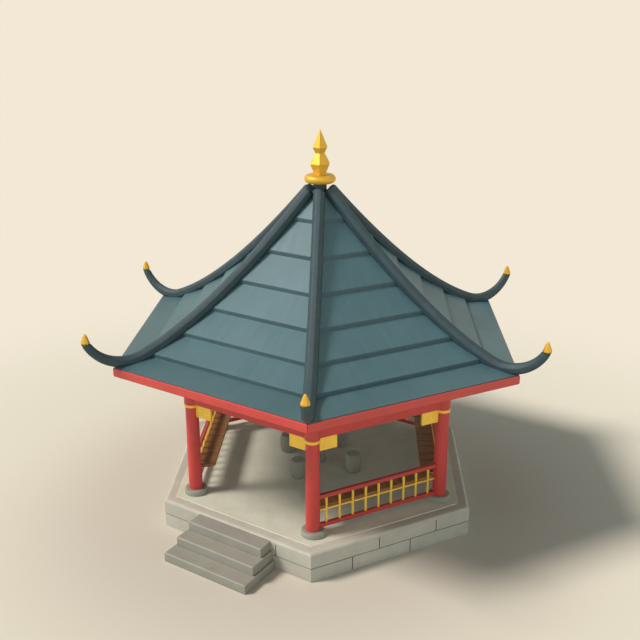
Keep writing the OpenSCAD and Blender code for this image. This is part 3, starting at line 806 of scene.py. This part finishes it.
# Hip ridges and their tips
ridge = {
    "tile": ("283d44", "384d53"), "gilt": ("dba936", "b4862a"),
    "width": 0.270, "endWidth": 0.175, "bed": 0.135, "start": 0.225, "liftBack": 0.700, "liftCurve": 0.930,
    "endSlope": 65, "soften": 0.016, "roofRings": 30, "airRings": 18,
    "head": ((0.26, 0.5), (0.22, 0.72), (0.15, 0.86), (0.06, 0.97)),       # set back, width: shares of width
    "tipHeight": 0.215, "tip": 0.095, "tipEase": 0.004, "sharp": 20,       # edges kept, in degrees
    "tipProfile": ((1, 1 / 7), (0.5, 0.75), (0.2, 0.97), (0.05, 1)),       # shares of radius and height
}
tileDark = ridgeTile("ridgeTile", ridge["tile"])
giltMetal = gilding("giltMetal", ridge["gilt"], 0.40, 0.46)
seat = ridge["width"] / 2 + roof["lip"] - ridge["bed"]
liftR = eaveR - ridge["liftBack"]


def onRoof(r):                               # centre line of the ridge: out, up, direction, width
    fall = roofFall(r)
    return r + seat * math.sin(fall), roofZ(r) + seat * math.cos(fall), -fall, ridge["width"]


def inAir(share):
    out, up, direction, width = onRoof(liftR)
    turn = direction + (math.radians(ridge["endSlope"]) - direction) * share
    return (out + ridge["liftCurve"] * (math.sin(turn) - math.sin(direction)),
            up + ridge["liftCurve"] * (math.cos(direction) - math.cos(turn)),
            turn if share < 1 else math.pi / 2, width + (ridge["endWidth"] - width) * share)


def inHead(back, share):
    out, up, direction, width = onRoof(ridge["start"])
    return (out - back * width * math.cos(direction), up - back * width * math.sin(direction), direction,
            width * share)


# Draws an eight-sided bar with softened corners along a path, over the corner on +X
def sweepBar(name, path):
    clearAll()
    out, up, direction, width = path[0]
    bpy.ops.mesh.primitive_circle_add(vertices=8, radius=width / 2 / math.cos(math.pi / 8), fill_type="NGON",
                                      location=(out, 0, up), rotation=(0, math.pi / 2 - direction, 0))
    bar = nameInHand(name)
    bpy.ops.object.transform_apply(location=True, rotation=True, scale=True)
    edit(bar)
    bpy.ops.mesh.select_all(action="SELECT")
    bpy.ops.transform.rotate(value=math.radians(octTurn), orient_axis="X", center_override=(out, 0, up))
    bpy.ops.mesh.bevel(offset=ridge["soften"] * width / ridge["width"], segments=2, affect="VERTICES")
    for newOut, newUp, newDirection, newWidth in path[1:]:
        centre = (newOut, 0, newUp)
        pullPicked((newOut - out, 0, newUp - up))
        if newDirection != direction:
            bpy.ops.transform.rotate(value=newDirection - direction, orient_axis="Y", center_override=centre)
        bpy.ops.transform.resize(value=(newWidth / width,) * 3, center_override=centre)
        out, up, direction, width = newOut, newUp, newDirection, newWidth
    tidyShell()
    return bar


ridgePath = [inHead(back, share) for back, share in ridge["head"]]
ridgePath += [onRoof(ridge["start"] + (liftR - ridge["start"]) * i / ridge["roofRings"])
              for i in range(ridge["roofRings"] + 1)]
ridgePath += [inAir(i / ridge["airRings"]) for i in range(1, ridge["airRings"] + 1)]
ridgeBar = sweepBar("ridgeBar", ridgePath)
ridges = copyRound(ridgeBar, corners, numbered("hipRidge"))
bpy.data.objects.remove(ridgeBar)
for piece, node in zip(ridges, numbered("hip_ridge")):
    finishPiece(piece, tileDark, node)

tipOut, tipZ = ridgePath[-1][:2]
tipRings = [(ridge["tip"] * wide, tipZ + ridge["tipHeight"] * tall) for wide, tall in ridge["tipProfile"]]
tip = stackRings("tip", 8, [(ridge["endWidth"] / 2, tipZ), *tipRings], at=(tipOut, 0), turn=octTurn)
easeEdges(tip, ridge["tipEase"], 2, ridge["sharp"])
for piece in copyRound(tip, corners, numbered("ridgeTip")):
    finishPiece(piece, giltMetal, "ridge_tips", ridge["sharp"])
bpy.data.objects.remove(tip)
print("ridges and tips: 6 each")

# Crown, disc and spire
finial = {
    "crownEase": 0.012, "discSides": 72, "spireEase": 0.007, "sharp": 20,  # spire: half width, level
    "spire": ((0.13992, 0), (0.13992, 0.06), (0.212, 0.245), (0.098, 0.487), (0.160, 0.613), (0.0096, 1)),
}
crown = stackRings("roofCrown", 6, [
    (roof["crown"], low("roof_crown").z), (roof["crown"], high("roof_crown").z)], turn=hexTurn)
easeEdges(crown, finial["crownEase"], 3)
finishPiece(crown, tileDark, "roof_crown")

discR, discLow, discHigh = high("finial_disc").x, low("finial_disc").z, high("finial_disc").z
discRim = quarterRound(discR, discHigh, (discHigh - discLow) / 2, 6)
discFoot = [(radius, discLow + discHigh - height) for radius, height in reversed(discRim)]
finialDisc = stackRings("finialDisc", finial["discSides"], discFoot + discRim[1:])
finishPiece(finialDisc, giltMetal, "finial_disc")

spireLow, spireHigh = low("finial_spire").z, high("finial_spire").z
finialSpire = stackRings("finialSpire", 6, [
    (cornerRadius(out), spireLow + share * (spireHigh - spireLow)) for out, share in finial["spire"]],
    turn=hexTurn)
easeEdges(finialSpire, finial["spireEase"], 3, finial["sharp"])
finishPiece(finialSpire, giltMetal, "finial_spire", finial["sharp"])
print("finial: crown, disc and spire")

# Balustrade
fence = {
    "lacquer": ("b9372e", "813329"), "rail": 0.090, "railEase": 0.010, "bars": 9, "bar": 0.042,
    "midBar": 0.035, "barEase": 0.005, "intoRail": 0.006,
}
railRed = lacquer("railLacquer", fence["lacquer"])
rail = fence["rail"]
railLow, railHigh = low("balustrade_rails").z, high("balustrade_rails").z
for railFoot, railName in ((railHigh - rail, "topRail"), (railLow, "bottomRail")):
    railOutline = boxOutline(columnFlat - rail / 2, columnFlat + rail / 2, railFoot, railFoot + rail)
    railBar = pullOutline("railBar", railOutline, barHalf)
    easeEdges(railBar, fence["railEase"], 3)
    finishClosed(railBar, numbered(railName, count=5), railRed, ["balustrade_rails"] * 5)

benchTop, benchLow = high("bench_seats").z, low("bench_seats").z
barPitch = 2 * sideHalf / (fence["bars"] + 1)
barTall = railHigh - railLow - 2 * rail + 2 * fence["intoRail"]
lattice = startMesh("lattice")
for number in range(fence["bars"]):
    addBar(((number + 1) * barPitch - sideHalf, -columnFlat, (railLow + railHigh) / 2),
           (fence["bar"], fence["bar"], barTall), fence["barEase"])
addBar((0, -columnFlat, benchLow - fence["midBar"] / 2), (2 * barHalf, fence["midBar"], fence["midBar"]),
       fence["barEase"])
tidyShell()
finishClosed(lattice, numbered("latticePanel", count=5), goldPaint,
             numbered("lattice_panel", count=5))

# Benches: cross boards as wide as the lattice's bars stand apart
bench = {
    "timber": ("936231", "6f4723"), "depth": 0.405, "ease": 0.008, "mitre": 0.006, "joint": 0.010,
    "jointDeep": 0.006,
}
benchBrown = timber("benchTimber", bench["timber"], boardWidth=barPitch)
benchOuter = columnFlat - fence["bar"] / 2
benchOutline = boxOutline(benchOuter - bench["depth"], benchOuter, benchLow, benchTop)
benchBoard = pullOutline("board", benchOutline, sideHalf - column["head"])
cutGrooves(barPitch, bench["joint"], bench["jointDeep"], Vector((0, 0, 1)))
mitreEnds(bench["mitre"])
easeEdges(benchBoard, bench["ease"], 3)
finishClosed(benchBoard, numbered("benchBoard", count=5), benchBrown, ["bench_seats"] * 5)
print("balustrade: 5 panels, 10 rails, 5 bench boards")

# Table and stools
stoolTop, tableTop = high("drum_stools").z, high("stone_table").z
table = {
    "stone": ("888374", "706c61"), "sides": 64, "top": 0.400, "thick": 0.080, "round": 0.014, "foot": 0.150,
    "footEase": 0.008, "capital": (0.9, 1.2), "capitalTall": 0.04,
    "footProfile": ((1, 0.08), (0.88, 0.13), (0.8, 0.2), (0.8, 0.75)),     # shares of radius and height
}
furnitureGrey = dressedStone("furnitureStone", table["stone"], seatZ=stoolTop)
footR, topR, rim = table["foot"], table["top"], table["round"]
softRim = rim * 0.3
topFoot = tableTop - table["thick"]
stoneTable = stackRings("stoneTable", table["sides"], [
    (footR - table["footEase"], floorZ), (footR, floorZ + table["footEase"]),
    *[(footR * wide, floorZ + (tableTop - floorZ) * tall) for wide, tall in table["footProfile"]],
    (footR * table["capital"][0], topFoot - table["capitalTall"]), (footR * table["capital"][1], topFoot),
    (topR - rim, topFoot), (topR - softRim, topFoot + softRim), (topR, topFoot + rim),
    (topR, tableTop - rim), (topR - softRim, tableTop - softRim), (topR - rim, tableTop)])
finishPiece(stoneTable, furnitureGrey, "stone_table")

stool = {
    "sides": 56, "belly": 0.205, "end": 0.168, "ring": 0.950, "round": 0.012, "groove": 0.004,
    "levels": (0.03, 0.09, 0.10, 0.11, 0.12, 0.2, 0.3, 0.4, 0.5, 0.6, 0.7, 0.8, 0.88, 0.89, 0.90, 0.91, 0.97),
    "grooved": (0.10, 0.11, 0.89, 0.90),
}
stoolRings = [(stool["end"] - stool["round"], floorZ)]
for level in stool["levels"]:
    radius = stool["end"] + (stool["belly"] - stool["end"]) * math.sin(math.pi * level)
    sunk = stool["groove"] * (level in stool["grooved"])
    stoolRings.append((radius - sunk, floorZ + (stoolTop - floorZ) * level))
stoolRings += [(stool["end"], stoolTop - stool["round"] / 2), (stool["end"] - stool["round"], stoolTop)]
stools = [stackRings("stool_1", stool["sides"], stoolRings, at=(stool["ring"], 0))]
stools += copyRound(stools[0], (90, 180, 270), numbered("stool", 2, 3))
for piece in stools:
    finishPiece(piece, furnitureGrey, "drum_stools")
print("table and", len(stools), "stools")

# Ground, light and camera
studio = {
    # The ground colours and their ramp paint shade near the pavilion.
    "ground": ("d5cbba", "f3ead5"), "centre": (0, -1.2, 0), "groundR": 150, "groundShadeRamp": (3, 8.5),
    "backdrop": "f2e8d5", "backdropRamp": (8, 17),
    "zenith": ("f4faff", 0.07), "horizon": "d9f6ff", "horizonTop": 0.5,
    "horizonFrom": ((-57, 1.1), (33, 2.8), (123, 0.8), (213, 4.3)),        # azimuth, strength
    "sun": {"from": (-0.707, -0.639, 1.0), "strength": 2.9, "angle": 16, "colour": (1.0, 0.955, 0.92)},
    "fill": {"from": (0.80, -0.58, 0.30), "strength": 0.5, "angle": 60, "colour": (1.0, 0.98, 0.95)},
    "lampAway": 12,
    "camera": (10.578, -16.470, 11.427), "lookAt": (0, 0, 4.385), "lens": 50, "sensor": 36, "sight": 400,
}
clearAll()
bpy.ops.mesh.primitive_circle_add(vertices=128, radius=studio["groundR"], fill_type="NGON")
ground = nameInHand("ground")
paper = startFinish("groundPaper")
# Painted shade: the ground is darker near the pavilion and pales outward; far off the camera sees the
# backdrop.
away = paper.add("VectorMath", {"operation": "DISTANCE"}, {0: paper.place(), 1: studio["centre"]}, "Value")
shade = paper.between(paper.ease(away, *studio["groundShadeRamp"]), *[paint(code) for code in studio["ground"]])
matt = paper.add("BsdfDiffuse", {}, {"Color": shade})
glow = paper.add("Emission", {}, {"Color": paint(studio["backdrop"]), "Strength": 1})
farAndSeen = paper.ease(away, *studio["backdropRamp"]) * paper.seen()
mixed = paper.add("MixShader", {}, {0: farAndSeen, 1: matt, 2: glow})
paper.add("OutputMaterial", {}, {"Surface": mixed}, ())
ground.data.materials.append(paper.owner)

# A soft sky whose light comes mostly from four sides of the horizon, behind a plain backdrop
bpy.context.scene.world = bpy.data.worlds.new("studioSky")
sky = Finish(bpy.context.scene.world)
skyX, skyY, skyUp = sky.parts(sky.add("TexCoord", {}, {}, "Generated"))
aside = sky.reckon("SQRT", skyX * skyX + skyY * skyY)
haze = 0
for azimuth, strength in studio["horizonFrom"]:
    turn = math.radians(azimuth)
    toward = sky.reckon("MAXIMUM", (skyX * math.cos(turn) + skyY * math.sin(turn)) / aside, 0)
    haze = toward * toward * strength + haze
overhead = sky.add("Background", {}, {"Color": paint(studio["zenith"][0]), "Strength": studio["zenith"][1]})
around = sky.add("Background", {}, {"Color": paint(studio["horizon"]), "Strength": haze})
soft = sky.add("MixShader", {}, {0: sky.ease(skyUp, 0, studio["horizonTop"], 1, 0), 1: overhead, 2: around})
backdrop = sky.add("Background", {}, {"Color": paint(studio["backdrop"]), "Strength": 1})
sky.add("OutputWorld", {}, {"Surface": sky.add("MixShader", {}, {0: sky.seen(), 1: soft, 2: backdrop})}, ())

for name in ("sun", "fill"):
    clearAll()
    origin = Vector(studio[name]["from"])
    bpy.ops.object.light_add(type="SUN", location=origin * studio["lampAway"])
    lamp = nameInHand(name)
    lamp.data.energy = studio[name]["strength"]
    lamp.data.angle = math.radians(studio[name]["angle"])
    lamp.data.color = studio[name]["colour"]
    lamp.rotation_euler = origin.to_track_quat("Z", "Y").to_euler()

bpy.ops.object.camera_add(location=studio["camera"])
view = nameInHand("view")
view.data.lens = studio["lens"]
view.data.sensor_width = studio["sensor"]
view.data.clip_end = studio["sight"]
sightLine = Vector(studio["lookAt"]) - Vector(studio["camera"])
view.rotation_euler = sightLine.to_track_quat("-Z", "Y").to_euler()
bpy.context.scene.camera = view
bpy.context.scene.view_settings.view_transform = "Standard"
print("ground, light and camera")
